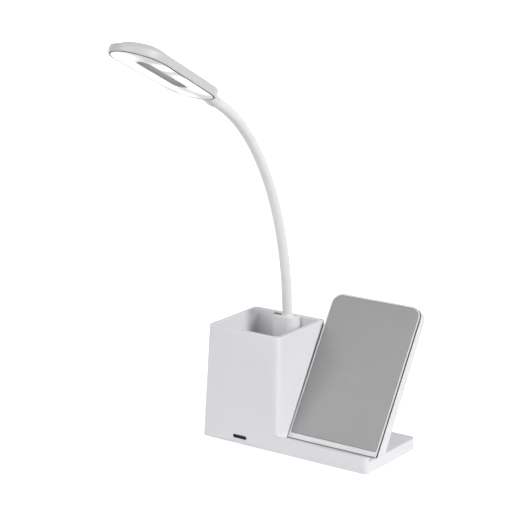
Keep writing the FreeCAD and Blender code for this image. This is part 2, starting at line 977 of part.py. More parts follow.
# A round rod along the arc from a station, of a length and a turn
def bent_rod(start, length, turn, radius):
    heading = start.heading()
    face = Part.Face(Part.Wire(Part.makeCircle(radius, start.place(), heading)))
    if turn == 0:
        return face.extrude(heading * length)
    bend = length / math.radians(turn)
    angle = math.radians(start.angle)
    centre = start.place() - Vector(0, math.cos(angle), math.sin(angle)) * bend
    return face.revolve(centre, Vector(1, 0, 0), turn)


def shape_piece(label, shape):
    feature = document.addObject("Part::Feature", label)
    feature.Label = label
    feature.Shape = shape
    return keep(feature)


neck_start = Station(neck_y.value, cup_top.value, sheet.get("neck_lean_angle"))
NECK_RUNS = ("low", "middle", "upper", "end")


def neck_stations():
    stations = [neck_start.onward(sheet.get("root_length"), 0)]
    for name in NECK_RUNS:
        stations.append(stations[-1].onward(sheet.get(name + "_length"), sheet.get(name + "_turn_angle")))
    return stations


# Each run has a steel core that ends in a cup for the next ball, inside a soft sleeve
def make_neck():
    core = sheet.get("core_radius")
    cup_radius = core + sheet.get("core_fit")
    setback = sheet.get("cup_setback")
    sleeve = sheet.get("neck_radius")
    bore = core + sheet.get("sleeve_fit")
    gap = sheet.get("sleeve_setback")
    stations = neck_stations()

    def socketed(rod, station):
        ball = Part.makeSphere(cup_radius, station.place())
        return rod.cut(ball)

    root_length = sheet.get("root_length")
    stem = Part.makeCylinder(
        core,
        sheet.get("stem_length"),
        Vector(neck_x.value, neck_y.value, cup_top.value - sheet.get("stem_length")),
    )
    knee = Part.makeSphere(core, neck_start.place())
    rod = bent_rod(neck_start, root_length - setback, 0, core)
    shape_piece("neck_core_root", socketed(stem.fuse([knee, rod]), stations[0]))
    # The root sleeve starts inside the pillar and is trimmed level with its top
    below = neck_start.onward(-sleeve, 0)
    skirt = bent_rod(below, root_length - gap + sleeve, 0, sleeve)
    hollow = bent_rod(below, root_length + sleeve, 0, bore)
    side = sleeve * 4
    corner = Vector(neck_x.value - side / 2, neck_y.value - side / 2, cup_top.value - side)
    trim = Part.makeBox(side, side, side, corner)
    shape_piece("neck_sleeve_root", skirt.cut([hollow, trim]))

    for index, name in enumerate(NECK_RUNS):
        start = stations[index]
        end = stations[index + 1]
        length = sheet.get(name + "_length")
        turn = sheet.get(name + "_turn_angle")
        rate = turn / length
        rod = bent_rod(start, length - setback, rate * (length - setback), core)
        ball = Part.makeSphere(core, start.place())
        shape_piece("neck_core_" + name, socketed(rod.fuse(ball), end))
        inset = start.onward(gap, rate * gap)
        run = length - gap * 2
        outer = bent_rod(inset, run, rate * run, sleeve)
        inner = bent_rod(inset, run, rate * run, bore)
        shape_piece("neck_sleeve_" + name, outer.cut(inner))

    ferrule = ring(
        "neck_ferrule",
        neck_x,
        neck_y,
        cup_top,
        size("ferrule_height"),
        size("ferrule_radius"),
        size("neck_radius") + size("ferrule_fit"),
    )
    keep(ferrule)
    nut = ring(
        "neck_nut",
        neck_x,
        neck_y,
        cup_top - size("pillar_top") - size("nut_thickness"),
        size("nut_thickness"),
        size("nut_radius"),
        size("core_radius") + size("core_fit") / 2,
    )
    keep(nut)
    return stations


# Lamp head, drawn with its axis along -Y from the last ball and then tipped into place
def put_on_head(body, joint):
    turned = Rotation(Vector(1, 0, 0), joint.angle - 90)
    body.Placement = Placement(joint.place(), turned)


# How far the head's middle plane lies above the neck's own line
def lift_on_head(body, joint):
    put_on_head(body, joint)
    body.Placement.Base += body.Placement.Rotation.multVec(Vector(0, 0, size("head_rise").value))


def head_tail():
    return size("head_back_centre") - size("head_back_radius") * measure(HEAD_TAIL_SHARE)


def make_head(joint):
    half = size("head_thickness") / 2
    low = -half
    back, back_radius = size("head_back_centre"), size("head_back_radius")
    front, front_radius = size("head_front_centre"), size("head_front_radius")
    hole_back, hole_front = size("hole_back_centre"), size("hole_front_centre")
    hole = size("hole_radius")
    wide = front_radius * 2

    cover = new_body("head_cover")
    outline = new_sketch(cover, low)
    draw_slot(outline, back, back_radius, front, front_radius)
    feature = pad(cover, outline, size("head_thickness"))

    def top_edge(edge):
        first, last = ends_of(edge)
        return near(first.z, half) and near(last.z, half)

    round_edges(cover, feature, size("head_edge_radius"), top_edge)
    tail = new_sketch(cover, low - size("overrun"))
    draw_rectangle(tail, -wide, wide, -head_tail(), ZERO)
    pocket(cover, tail, size("head_thickness") + size("overrun") * 2)

    # A deep window for the board and a shallow seat for the diffuser, which is longer at the
    # tail, with a wall left round the hole
    wall = size("head_wall")
    rim = hole + size("hole_wall")
    seat = new_sketch(cover, low)
    draw_slot(seat, back, back_radius - wall, front, front_radius - wall)
    draw_slot(seat, hole_back, rim, hole_front, rim)
    pocket(cover, seat, size("diffuser_inset") + size("diffuser_thickness"))
    window = new_sketch(cover, low)
    draw_window(window, wall)
    draw_slot(window, hole_back, rim, hole_front, rim)
    pocket(cover, window, size("head_thickness") - size("head_skin"))
    cut_slot_hole(
        cover,
        low - size("overrun"),
        size("head_thickness") + size("overrun") * 2,
        hole_back,
        hole,
        hole_front,
        hole,
    )
    pilots = new_sketch(cover, half - size("head_skin"))
    for name, x, y in head_screw_spots():
        draw_circle(pilots, x, y, size("screw_radius") + size("screw_fit"))
    pocket(cover, pilots, size("head_screw_length") + size("screw_fit"))
    lift_on_head(cover, joint)
    keep(cover)

    # The board lies under the cover's skin and the diffuser closes the window
    board_top = half - size("head_skin") - size("led_board_gap")
    board_low = board_top - size("led_board_thickness")
    layers = (
        ("led_board", board_low, size("led_board_thickness")),
        ("diffuser", low + size("diffuser_inset"), size("diffuser_thickness")),
    )
    for label, level, thickness in layers:
        body = new_body(label)
        outline = new_sketch(body, level)
        fit = size("diffuser_fit")
        draw_slot(outline, hole_back, rim + fit, hole_front, rim + fit)
        if label == "diffuser":
            draw_slot(outline, back, back_radius - wall - fit, front, front_radius - wall - fit)
        else:
            draw_window(outline, wall + fit)
            for name, x, y in head_screw_spots():
                draw_circle(outline, x, y, size("screw_radius") + size("screw_fit"))
        pad(body, outline, thickness)
        lift_on_head(body, joint)
        keep(body)

    led_low = board_low - size("led_height")
    for number, (x, along) in enumerate(led_spots(), start=1):
        led = plate(
            "led_%02d" % number,
            x - size("led_width") / 2,
            x + size("led_width") / 2,
            -along - size("led_length") / 2,
            -along + size("led_length") / 2,
            led_low,
            size("led_height"),
        )
        lift_on_head(led, joint)
        keep(led)

    make_head_screws(joint, board_low)

    # The socket widens from the neck to the head's tail, and the neck's core ends in it
    socket = new_body("head_socket")
    start = size("socket_start")
    tail_half = math.sqrt(back_radius.value ** 2 - (back.value - head_tail().value) ** 2)
    sections = []
    for level, across, tall in (
        (start, size("neck_radius").value, size("neck_radius").value),
        (head_tail(), tail_half, half.value),
    ):
        section = new_sketch(socket, level, "XZ_Plane")
        if across > tall:
            centre = Vector(0, size("head_rise").value, 0)
            section.addGeometry(Part.Ellipse(centre, across, tall), False)
        else:
            section.addGeometry(Part.Circle(Vector(0, 0, 0), Vector(0, 0, 1), across), False)
        sections.append(section)
    loft(socket, sections, "AdditiveLoft")
    bore = new_sketch(socket, start, "XZ_Plane")
    draw_circle(bore, ZERO, ZERO, size("core_radius") + size("socket_fit"))
    pocket(socket, bore, head_tail() - start - size("socket_end_wall"))
    put_on_head(socket, joint)
    keep(socket)

    core = sheet.get("core_radius")
    length = head_tail().value - sheet.get("socket_end_wall") - sheet.get("socket_fit")
    rod = bent_rod(joint, length, 0, core)
    shape_piece("neck_core_head", rod.fuse(Part.makeSphere(core, joint.place())))


# The window follows the head's outline inside its wall and ends in an arc at the tail
def draw_window(sketch, inset):
    back_radius = size("head_back_radius") - inset
    back = size("window_start") + inset - size("head_wall") + back_radius
    draw_slot(sketch, back, back_radius, size("head_front_centre"), size("head_front_radius") - inset)


def led_spots():
    back, front = size("hole_back_centre"), size("hole_front_centre")
    for side in (-1, 1):
        for share in LED_ARM_SHARES:
            yield size("led_side") * side, back + (front - back) * share
    for side in (-1, 1):
        yield size("led_tip_side") * side, size("head_front_centre") + size("led_tip_gap")


def head_screw_spots():
    along = size("window_start") + size("head_screw_gap")
    for name, side in (("left", -1), ("right", 1)):
        yield name, size("head_screw_side") * side, -along


def make_head_screws(joint, board_low):
    for name, x, y in head_screw_spots():
        body = new_body("head_screw_" + name)
        low = board_low - size("screw_head_height")
        outline = new_sketch(body, low)
        draw_circle(outline, x, y, size("screw_head_radius"))
        pad(body, outline, size("screw_head_height"))
        outline = new_sketch(body, board_low)
        draw_circle(outline, x, y, size("screw_radius"))
        through = size("led_board_thickness") + size("led_board_gap")
        pad(body, outline, through + size("head_screw_length"))
        lift_on_head(body, joint)
        keep(body)


make_housing()
make_underside()
make_counterweight()
make_sockets()
make_stand_shell()
make_stand_front()
make_coil()
make_touch_key()
head_joint = make_neck()[-1]
make_head(head_joint)

# Nothing is written until every object and every piece is sound
document.recompute()
for item in document.Objects:
    if "Invalid" in item.State or "Error" in item.State:
        raise RuntimeError("%s failed: %s" % (item.Label, item.State))
for piece in pieces:
    if piece.Shape.isNull() or not piece.Shape.isValid() or len(piece.Shape.Solids) != 1:
        raise RuntimeError("%s is not one sound solid" % piece.Label)
for piece in pieces:
    piece.Shape.exportStep("parts/%s.step" % piece.Label)
print("pieces", len(pieces))
for station in neck_stations():
    print("joint at y %.2f z %.2f, %.1f degrees from upright" % (station.y, station.z, station.angle))
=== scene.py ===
import json
import math

import bmesh
import bpy
import numpy as np
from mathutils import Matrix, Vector


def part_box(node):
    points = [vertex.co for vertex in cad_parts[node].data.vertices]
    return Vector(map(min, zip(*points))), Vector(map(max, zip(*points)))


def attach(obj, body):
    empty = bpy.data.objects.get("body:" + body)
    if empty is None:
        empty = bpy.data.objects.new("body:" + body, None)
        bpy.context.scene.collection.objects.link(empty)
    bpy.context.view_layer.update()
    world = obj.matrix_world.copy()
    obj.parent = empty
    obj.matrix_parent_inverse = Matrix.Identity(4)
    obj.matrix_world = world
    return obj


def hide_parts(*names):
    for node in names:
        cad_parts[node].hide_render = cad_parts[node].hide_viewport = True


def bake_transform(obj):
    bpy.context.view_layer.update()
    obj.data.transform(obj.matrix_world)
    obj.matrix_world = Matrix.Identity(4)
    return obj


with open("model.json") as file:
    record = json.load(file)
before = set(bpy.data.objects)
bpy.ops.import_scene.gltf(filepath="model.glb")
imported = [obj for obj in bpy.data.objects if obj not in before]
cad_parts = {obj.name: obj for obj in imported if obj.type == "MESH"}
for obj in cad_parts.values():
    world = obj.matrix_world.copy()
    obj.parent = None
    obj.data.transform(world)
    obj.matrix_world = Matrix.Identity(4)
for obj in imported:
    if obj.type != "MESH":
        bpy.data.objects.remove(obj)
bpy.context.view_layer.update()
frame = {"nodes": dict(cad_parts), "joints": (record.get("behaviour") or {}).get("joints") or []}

nodes = frame["nodes"]
mm = 0.001
jointPlace = {joint["name"]: np.array(joint["pos_m"]) for joint in frame["joints"]}
print("frame loaded,", len(nodes), "nodes")


# Camera at the photograph's place, in metres; the lens and sensor are in millimetres
cameraSet = {
    "place": (0.75896, -1.13558, 0.49772),
    "target": (-0.0488, 0.0, 0.1405),
    "lens": 132.26,
    "sensor": 36,
    "nearClip": 0.05,
    "farClip": 20,
}


# The camera looks from its place to its target, upright
def makeCamera():
    camera = bpy.data.objects.new("photoCamera", bpy.data.cameras.new("photoCamera"))
    bpy.context.scene.collection.objects.link(camera)
    camera.data.lens = cameraSet["lens"]
    camera.data.sensor_width = cameraSet["sensor"]
    camera.location = cameraSet["place"]
    aim = Vector(cameraSet["target"]) - Vector(cameraSet["place"])
    camera.rotation_euler = aim.to_track_quat("-Z", "Y").to_euler()
    camera.data.clip_start = cameraSet["nearClip"]
    camera.data.clip_end = cameraSet["farClip"]
    bpy.context.scene.camera = camera
    print("camera placed")


# Wraps a socket, so that a formula on sockets is written as a plain expression
class Wire:
    def __init__(self, graph, socket):
        self.graph = graph
        self.socket = socket

    def math(self, operation, first, second):
        return self.graph.make("Math", {"operation": operation}, {0: first, 1: second})

    def __add__(self, other):
        return self.math("ADD", self, other)

    def __radd__(self, other):
        return self.math("ADD", other, self)

    def __sub__(self, other):
        return self.math("SUBTRACT", self, other)

    def __rsub__(self, other):
        return self.math("SUBTRACT", other, self)

    def __mul__(self, other):
        return self.math("MULTIPLY", self, other)

    def __rmul__(self, other):
        return self.math("MULTIPLY", other, self)

    def power(self, other):
        return self.math("POWER", self, other)

    def larger(self, other):
        return self.math("MAXIMUM", self, other)

    # Another output of the same node
    def beside(self, name):
        return Wire(self.graph, self.socket.node.outputs[name])


# The nodes of one material or of the world
class Graph:
    def __init__(self, tree):
        self.tree = tree

    # Any node: its settings first, then the values or links of its sockets
    def make(self, kind, settings, sockets, output=0):
        node = self.tree.nodes.new("ShaderNode" + kind)
        for name, value in settings.items():
            setattr(node, name, value)
        for name, value in sockets.items():
            self.feed(node.inputs[name], value)
        return Wire(self, node.outputs[output])

    # A socket takes a link from a wire, or a plain value
    def feed(self, socket, value):
        if isinstance(value, Wire):
            self.tree.links.new(value.socket, socket)
        else:
            socket.default_value = value

    # Sends a shader to the output node
    def show(self, shader, outputNode):
        self.tree.links.new(shader.socket, self.tree.nodes[outputNode].inputs["Surface"])

    # One for what the camera sees, straight or in gloss or through glass, else zero
    def seen(self):
        camera = self.make("LightPath", {}, {}, "Is Camera Ray")
        return camera.larger(camera.beside("Is Glossy Ray")).larger(camera.beside("Is Transmission Ray"))


# A material on the object's own coordinates, with one main shader
class Finish(Graph):
    def __init__(self, name):
        self.material = bpy.data.materials.new(name)
        self.material.use_nodes = True
        super().__init__(self.material.node_tree)
        self.shader = self.tree.nodes["Principled BSDF"]
        self.place = self.make("TexCoord", {}, {}, "Object")

    # Noise of one scale and detail, on the object's own coordinates or at a given place
    def noise(self, scale, detail, place=None):
        spot = place or self.place
        return self.make("TexNoise", {}, {"Vector": spot, "Scale": scale, "Detail": detail}, "Fac")

    def blendColor(self, factor, first, second):
        mix = {"data_type": "RGBA"}
        return self.make("Mix", mix, {0: factor, 6: (*first, 1.0), 7: (*second, 1.0)}, 2)

    def bump(self, height, strength, distance):
        sockets = {"Height": height, "Strength": strength, "Distance": distance}
        return self.make("Bump", {}, sockets, "Normal")

    def set(self, **values):
        names = {
            "color": "Base Color",
            "roughness": "Roughness",
            "metallic": "Metallic",
            "normal": "Normal",
            "glow": "Emission Color",
            "glowStrength": "Emission Strength",
            "level": "Specular IOR Level",
        }
        for name, value in values.items():
            self.feed(self.shader.inputs[names[name]], value)
        return self.material


plasticSet = {
    # Scale and detail of each noise, here and in the sets below
    "clouds": (34.0, 4.0),
    "wear": (240.0, 5.0),
    "grain": (2600.0, 2.0),
    "cloudShare": 0.75,
    "grainShare": 0.25,
    "grainStrength": 0.35,
    "grainHeight": 0.00003,
    "glossStart": 0.05,
    "glossRange": 0.06,
}
# Light shade, dark shade and roughness of each moulded finish
plasticShades = {
    "mouldedWhite": ((0.72, 0.72, 0.74), (0.69, 0.69, 0.712), 0.42),
    "headWhite": ((0.57, 0.57, 0.572), (0.54, 0.54, 0.542), 0.36),
    "socketWhite": ((0.68, 0.68, 0.682), (0.65, 0.65, 0.652), 0.4),
    # The hole wall's grey is painted shade, for the shade inside the head's narrow hole
    "holeWallPaintedShade": ((0.40, 0.40, 0.398), (0.36, 0.36, 0.358), 0.5),
    "underGrey": ((0.66, 0.66, 0.68), (0.62, 0.62, 0.64), 0.55),
    "keyGloss": ((0.055, 0.055, 0.06), (0.03, 0.03, 0.035), 0.28),
    "portBlack": ((0.02, 0.02, 0.022), (0.012, 0.012, 0.014), 0.4),
}


# Moulded plastic: a fine satin grain, faint flow clouds and a slight change of gloss
def moulded(name):
    s = plasticSet
    light, dark, roughness = plasticShades[name]
    finish = Finish(name)
    clouds = finish.noise(*s["clouds"])
    grain = finish.noise(*s["grain"])
    wear = finish.noise(*s["wear"])
    factor = clouds * s["cloudShare"] + grain * s["grainShare"]
    return finish.set(
        color=finish.blendColor(factor, dark, light),
        roughness=roughness - s["glossStart"] + clouds * s["glossRange"] + wear * s["glossRange"],
        normal=finish.bump(grain, s["grainStrength"], s["grainHeight"]),
    )


rubberSet = {
    "dust": (90.0, 6.0),
    "dustShare": 0.8,
    "poreShare": 0.2,
    "dustGloss": 0.08,
    "poreStrength": 0.3,
    "poreDepth": 0.00004,
}
# Light shade, dark shade, roughness and the scale of the pores
rubberShades = {
    "neckSilicone": ((0.75, 0.75, 0.751), (0.72, 0.72, 0.721), 0.44, 2600.0),
    "matRubber": ((0.075, 0.075, 0.08), (0.05, 0.05, 0.055), 0.72, 700.0),
    "padRubber": ((0.33, 0.33, 0.333), (0.29, 0.29, 0.293), 0.5, 2200.0),
    # The near-black seam finish is painted shade, standing in for the shade in the stand's seam and in
    # the gap round the head's lit face
    "seamPaintedShade": ((0.03, 0.03, 0.032), (0.02, 0.02, 0.022), 0.7, 1800.0),
}


# Rubber: matte, with pores in the surface and a little dust in its colour
def rubbery(name):
    s = rubberSet
    light, dark, roughness, poreScale = rubberShades[name]
    finish = Finish(name)
    pores = finish.make("TexVoronoi", {}, {"Vector": finish.place, "Scale": poreScale}, "Distance")
    dust = finish.noise(*s["dust"])
    return finish.set(
        color=finish.blendColor(dust * s["dustShare"] + pores * s["poreShare"], dark, light),
        roughness=roughness + dust * s["dustGloss"],
        normal=finish.bump(pores, s["poreStrength"], s["poreDepth"]),
    )


metalSet = {
    "streaks": (1.0, 4.0),
    "spots": (700.0, 3.0),
    "streakGloss": 0.12,
    "spotGloss": 0.06,
    "streakShare": 0.7,
    "spotShare": 0.3,
    "strength": 0.25,
    "depth": 0.00003,
}
# Light shade, dark shade, roughness and how close the streaks lie along each axis
metalShades = {
    "platedSteel": ((0.56, 0.56, 0.58), (0.42, 0.42, 0.44), 0.3, (900.0, 60.0, 900.0)),
    "portSteel": ((0.5, 0.5, 0.52), (0.36, 0.36, 0.38), 0.28, (60.0, 900.0, 900.0)),
    "sensorBrass": ((0.78, 0.56, 0.26), (0.6, 0.4, 0.16), 0.34, (900.0, 60.0, 900.0)),
}


# Metal: drawn or plated, with streaks along one direction and small spots of less gloss
def metallic(name):
    s = metalSet
    light, dark, roughness, stretch = metalShades[name]
    finish = Finish(name)
    drawn = finish.make("Mapping", {}, {"Vector": finish.place, "Scale": stretch})
    streaks = finish.noise(*s["streaks"], drawn)
    spots = finish.noise(*s["spots"])
    relief = streaks * s["streakShare"] + spots * s["spotShare"]
    return finish.set(
        color=finish.blendColor(streaks, dark, light),
        metallic=1.0,
        roughness=roughness + streaks * s["streakGloss"] + spots * s["spotGloss"],
        normal=finish.bump(relief, s["strength"], s["depth"]),
    )


copperSet = {
    "slope": 57.5,
    "wire": 0.0005,
    "gap": (0.25, 0.08, 0.03),
    "crest": (0.72, 0.34, 0.16),
    "metallic": 0.9,
    "roughness": 0.32,
    "glossRange": 0.1,
    "strength": 0.8,
    "depth": 0.0003,
}


# Copper wire wound in a flat spiral: rings about the coil's middle, in the stand's own slope
def woundCopper():
    s = copperSet
    finish = Finish("woundCopper")
    low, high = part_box("charging_coil")
    turn = (math.radians(s["slope"]), 0, 0)
    sockets = {"Vector": finish.place, "Location": (low + high) / 2, "Rotation": turn}
    turned = finish.make("Mapping", {"vector_type": "TEXTURE"}, sockets)
    flat = finish.make("SeparateXYZ", {}, {"Vector": turned}, "X")
    up = flat.beside("Y")
    reach = (flat * flat + up * up).power(0.5)
    turns = reach.math("PINGPONG", reach, s["wire"]) * (1 / s["wire"])
    return finish.set(
        color=finish.blendColor(turns, s["gap"], s["crest"]),
        metallic=s["metallic"],
        roughness=s["roughness"] + turns * s["glossRange"],
        normal=finish.bump(turns, s["strength"], s["depth"]),
    )


boardSet = {
    "tracks": 260.0,
    "trackWidth": 0.08,
    "clouds": (60.0, 3.0),
    "trackShare": 0.7,
    "cloudShare": 0.2,
    "roughness": 0.35,
    "trackGloss": 0.12,
    "strength": 0.4,
    "step": 0.00004,
}
# Colours of the mask and of the tracks
boardShades = {
    "greenBoard": ((0.012, 0.11, 0.04), (0.05, 0.27, 0.10)),
    "whiteBoard": ((0.74, 0.74, 0.72), (0.62, 0.62, 0.60)),
}


# Circuit board: solder mask with lighter tracks and small pads
def circuit(name):
    s = boardSet
    mask, track = boardShades[name]
    finish = Finish(name)
    cells = {"feature": "DISTANCE_TO_EDGE", "distance": "EUCLIDEAN"}
    lines = finish.make("TexVoronoi", cells, {"Vector": finish.place, "Scale": s["tracks"]}, "Distance")
    tracks = lines.math("LESS_THAN", lines, s["trackWidth"])
    clouds = finish.noise(*s["clouds"])
    return finish.set(
        color=finish.blendColor(tracks * s["trackShare"] + clouds * s["cloudShare"], mask, track),
        roughness=s["roughness"] + tracks * s["trackGloss"],
        normal=finish.bump(tracks, s["strength"], s["step"]),
    )


chipSet = {
    "low": (0.93, 0.78, 0.30),
    "high": (0.98, 0.9, 0.5),
    "grain": (3000.0, 2.0),
    "roughness": 0.3,
    "glossRange": 0.2,
    "glow": 1.2,
}


# Lamp phosphor: a fine warm grain that glows
def phosphor():
    s = chipSet
    finish = Finish("phosphor")
    grain = finish.noise(*s["grain"])
    color = finish.blendColor(grain, s["low"], s["high"])
    gloss = s["roughness"] + grain * s["glossRange"]
    return finish.set(color=color, roughness=gloss, glow=color, glowStrength=s["glow"])


shineSet = {
    # Across, along, half width, half length, power of each bright spot on the face
    "spots": (
        (-9.0, 104.0, 12.0, 8.0, 1.2),
        (13.5, 84.0, 8.0, 6.0, 1.3),
        (15.0, 58.0, 8.0, 9.0, 1.5),
        (13.0, 40.0, 8.0, 10.0, 1.5),
        (-15.0, 88.0, 9.0, 12.0, 1.3),
        (-14.0, 66.0, 9.0, 12.0, 1.4),
        (-13.0, 46.0, 9.0, 12.0, 1.3),
        (-8.0, 23.0, 7.0, 7.0, 0.9),
    ),
    # The same for the faint warm spot near the neck
    "warm": (-6.0, 23.0, 10.0, 9.0, 0.3),
    "warmColor": (0.42, 0.40, 0.26, 1.0),
    "low": (0.6, 0.6, 0.595),
    "high": (0.82, 0.82, 0.815),
    "grain": (1500.0, 2.0),
    "grainShare": 0.2,
    "shineShare": 0.8,
    "grainStrength": 0.2,
    "grainHeight": 0.00003,
    "roughness": 0.34,
    "glossRange": 0.1,
    "glow": 0.68,
}


# The lit face: milky plastic, bright where the chips shine through and grey between them
def litMilk():
    s = shineSet
    finish = Finish("litMilk")
    shine = finish.make("Attribute", {"attribute_name": "shine"}, {}, "Fac")
    warmth = finish.make("Attribute", {"attribute_name": "warmth"}, {}, "Fac")
    grain = finish.noise(*s["grain"])
    cool = finish.blendColor(shine, (0.0, 0.0, 0.0), (1.0, 1.0, 1.0))
    warm = finish.make("Mix", {"data_type": "RGBA"}, {0: warmth, 6: cool, 7: s["warmColor"]}, 2)
    factor = grain * s["grainShare"] + shine * s["shineShare"]
    return finish.set(
        color=finish.blendColor(factor, s["low"], s["high"]),
        roughness=s["roughness"] + grain * s["glossRange"],
        normal=finish.bump(grain, s["grainStrength"], s["grainHeight"]),
        glow=warm,
        glowStrength=s["glow"],
    )


white = moulded("mouldedWhite")
headWhite = moulded("headWhite")
socketWhite = moulded("socketWhite")
# Painted shade: the grey of the head's hole wall
holeWallPaintedShade = moulded("holeWallPaintedShade")
silicone = rubbery("neckSilicone")
underGrey = moulded("underGrey")
matRubber = rubbery("matRubber")
padRubber = rubbery("padRubber")
keyGloss = moulded("keyGloss")
portBlack = moulded("portBlack")
# Painted shade for the gaps of the seams
seamPaintedShade = rubbery("seamPaintedShade")
steel = metallic("platedSteel")
portSteel = metallic("portSteel")
brass = metallic("sensorBrass")
copper = woundCopper()
greenBoard = circuit("greenBoard")
whiteBoard = circuit("whiteBoard")
phosphorChip = phosphor()
milk = litMilk()

# Nodes with a finish of their own; screws, cores and chips are told by their names
nodeFinish = {
    "counterweight": steel,
    "main_board": greenBoard,
    "inlet_board": greenBoard,
    "coil_board": greenBoard,
    "led_board": whiteBoard,
    "front_port": portBlack,
    "rear_inlet": portSteel,
    "port_tongue": portBlack,
    "ferrite_disc": portBlack,
    "charging_coil": copper,
    "touch_electrode": brass,
    "neck_nut": steel,
}


# Every node gets one finish, also where a piece below replaces it
def dressNodes():
    for name, node in nodes.items():
        finish = nodeFinish.get(name)
        if finish is None:
            if name.startswith("led_"):
                finish = phosphorChip
            elif "screw" in name or "core" in name:
                finish = steel
            else:
                finish = white
        node.data.materials.clear()
        node.data.materials.append(finish)


# Quads over a grid of points; a wrapped direction joins its last row to its first
def gridQuads(rows, columns, wrapRows, wrapColumns):
    row, column = np.meshgrid(
        np.arange(rows if wrapRows else rows - 1),
        np.arange(columns if wrapColumns else columns - 1),
        indexing="ij",
    )
    rowNext, columnNext = (row + 1) % rows, (column + 1) % columns
    corners = [
        row * columns + column,
        rowNext * columns + column,
        rowNext * columns + columnNext,
        row * columns + columnNext,
    ]
    return np.stack(corners, -1).reshape(-1, 4)


meshSet = {"weld": 1e-6, "nodeWeld": 2e-6, "flatAngle": 1.0, "roundAngle": 32.0}


# Makes a piece of a grid of points in metres whose columns close on themselves, welds it and turns
# its faces outwards. A ring's rows close too; otherwise the end rows get caps
def makePiece(name, grid, finish, ring=False, capFirst=True, sharp=35.0):
    rows, columns = grid.shape[:2]
    faces = gridQuads(rows, columns, ring, True).tolist()
    if not ring:
        row = np.arange(columns)
        faces += [row.tolist()] if capFirst else []
        faces.append((row + (rows - 1) * columns).tolist())
    mesh = bpy.data.meshes.new(name)
    mesh.from_pydata(grid.reshape(-1, 3).tolist(), [], faces)
    work = bmesh.new()
    work.from_mesh(mesh)
    bmesh.ops.remove_doubles(work, verts=work.verts, dist=meshSet["weld"])
    bmesh.ops.recalc_face_normals(work, faces=work.faces)
    work.to_mesh(mesh)
    work.free()
    mesh.shade_smooth()
    mesh.set_sharp_from_angle(angle=math.radians(sharp))
    mesh.materials.append(finish)
    piece = bpy.data.objects.new(name, mesh)
    bpy.context.scene.collection.objects.link(piece)
    return piece


# A copy of a node with its doubles merged, its flat areas joined and its sharp edges rounded
def softened(node, name, finish, width, segments=3):
    mesh = nodes[node].data.copy()
    mesh.name = name
    work = bmesh.new()
    work.from_mesh(mesh)
    bmesh.ops.remove_doubles(work, verts=work.verts, dist=meshSet["nodeWeld"])
    flat = math.radians(meshSet["flatAngle"])
    bmesh.ops.dissolve_limit(work, angle_limit=flat, verts=work.verts, edges=work.edges)
    work.to_mesh(mesh)
    work.free()
    mesh.materials.clear()
    mesh.materials.append(finish)
    mesh.shade_smooth()
    piece = bpy.data.objects.new(name, mesh)
    bpy.context.scene.collection.objects.link(piece)
    rounding = piece.modifiers.new("rounding", "BEVEL")
    rounding.width = width
    rounding.segments = segments
    rounding.limit_method = "ANGLE"
    rounding.angle_limit = math.radians(meshSet["roundAngle"])
    rounding.use_clamp_overlap = False
    rounding.harden_normals = True
    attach(piece, "base")
    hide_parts(node)


# Arc of points about a centre, from one angle to another, in degrees
def arcPoints(centre, radius, start, end, count):
    turn = np.radians(np.linspace(start, end, count))
    return np.stack([centre[0] + radius * np.cos(turn), centre[1] + radius * np.sin(turn)], -1)


# A rim as (inset, height) pairs: a straight side, then an arc up to the flat top
def rimSections(start, low, high, edge, count=5):
    bend = arcPoints((0, 0), edge, 0, 90, count)
    return [(start, low)] + [(start + edge - x, high - edge + y) for x, y in bend]


# Rectangle with round corners, as a closed loop that has the same number of points at any size
def roundLoop(west, east, south, north, radius, perCorner=10):
    corners = [
        (east - radius, north - radius, 0),
        (west + radius, north - radius, 90),
        (west + radius, south + radius, 180),
        (east - radius, south + radius, 270),
    ]
    arcs = [arcPoints((x, y), radius, turn, turn + 90, perCorner) for x, y, turn in corners]
    return np.concatenate(arcs)


# A level slab inside a node's box: a rounded rectangle at each pair of inset and height
def levelSlab(node, sections, radius):
    (west, south, _), (east, north, _) = (np.array(corner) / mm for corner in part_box(node))
    loops = []
    for inset, z in sections:
        loop = roundLoop(west + inset, east - inset, south + inset, north - inset, radius - inset)
        loops.append(np.column_stack([loop, np.full(len(loop), z)]))
    return np.array(loops) * mm


print("helpers and finishes ready")


# Base: housing, cover, mat and screws, in millimetres
baseSet = {
    "edge": 0.5,
    "coverEdge": 0.25,
    "matRadius": 6.0,
    "matEdge": 0.3,
    "matTop": 0.8,
    "screws": 4,
    "screwHead": 1.9,
    "screwRings": 34,
    "screwSides": 72,
    "screwTall": 0.7,
    "screwFall": 0.45,
    "screwPower": 4,
    "screwRecess": 0.45,
    "screwShank": 0.53,
    "crossHalf": 0.28,
    "crossReach": 1.15,
    "crossSlope": 0.08,
}


# The mat is a rounded slab whose rim is an arc from its side to its flat underside
def makeMat():
    s = baseSet
    sections = [(inset, -z) for inset, z in rimSections(0.0, -s["matTop"], 0.0, s["matEdge"])]
    grid = levelSlab("anti_slip_mat", sections, s["matRadius"])
    piece = makePiece("antiSlipMat", grid, matRubber)
    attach(piece, "base")
    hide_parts("anti_slip_mat")


# A pan head on a polar grid: its height falls to its rim and drops inside a cross-shaped recess
def screwFace():
    s = baseSet
    radius = np.linspace(0, s["screwHead"], s["screwRings"])
    turn = np.linspace(0, 2 * math.pi, s["screwSides"], endpoint=False)
    r, a = np.meshgrid(radius, turn, indexing="ij")
    x, y = r * np.cos(a), r * np.sin(a)
    dome = s["screwTall"] * (1 - s["screwFall"] * (r / s["screwHead"]) ** s["screwPower"])
    arm = np.minimum(np.abs(x), np.abs(y)) - s["crossHalf"]
    reach = np.maximum(np.abs(x), np.abs(y)) - s["crossReach"]
    depth = np.clip(-np.maximum(arm, reach) / s["crossSlope"], 0, 1)
    return np.stack([x, y, s["screwRecess"] * depth - dome], -1)


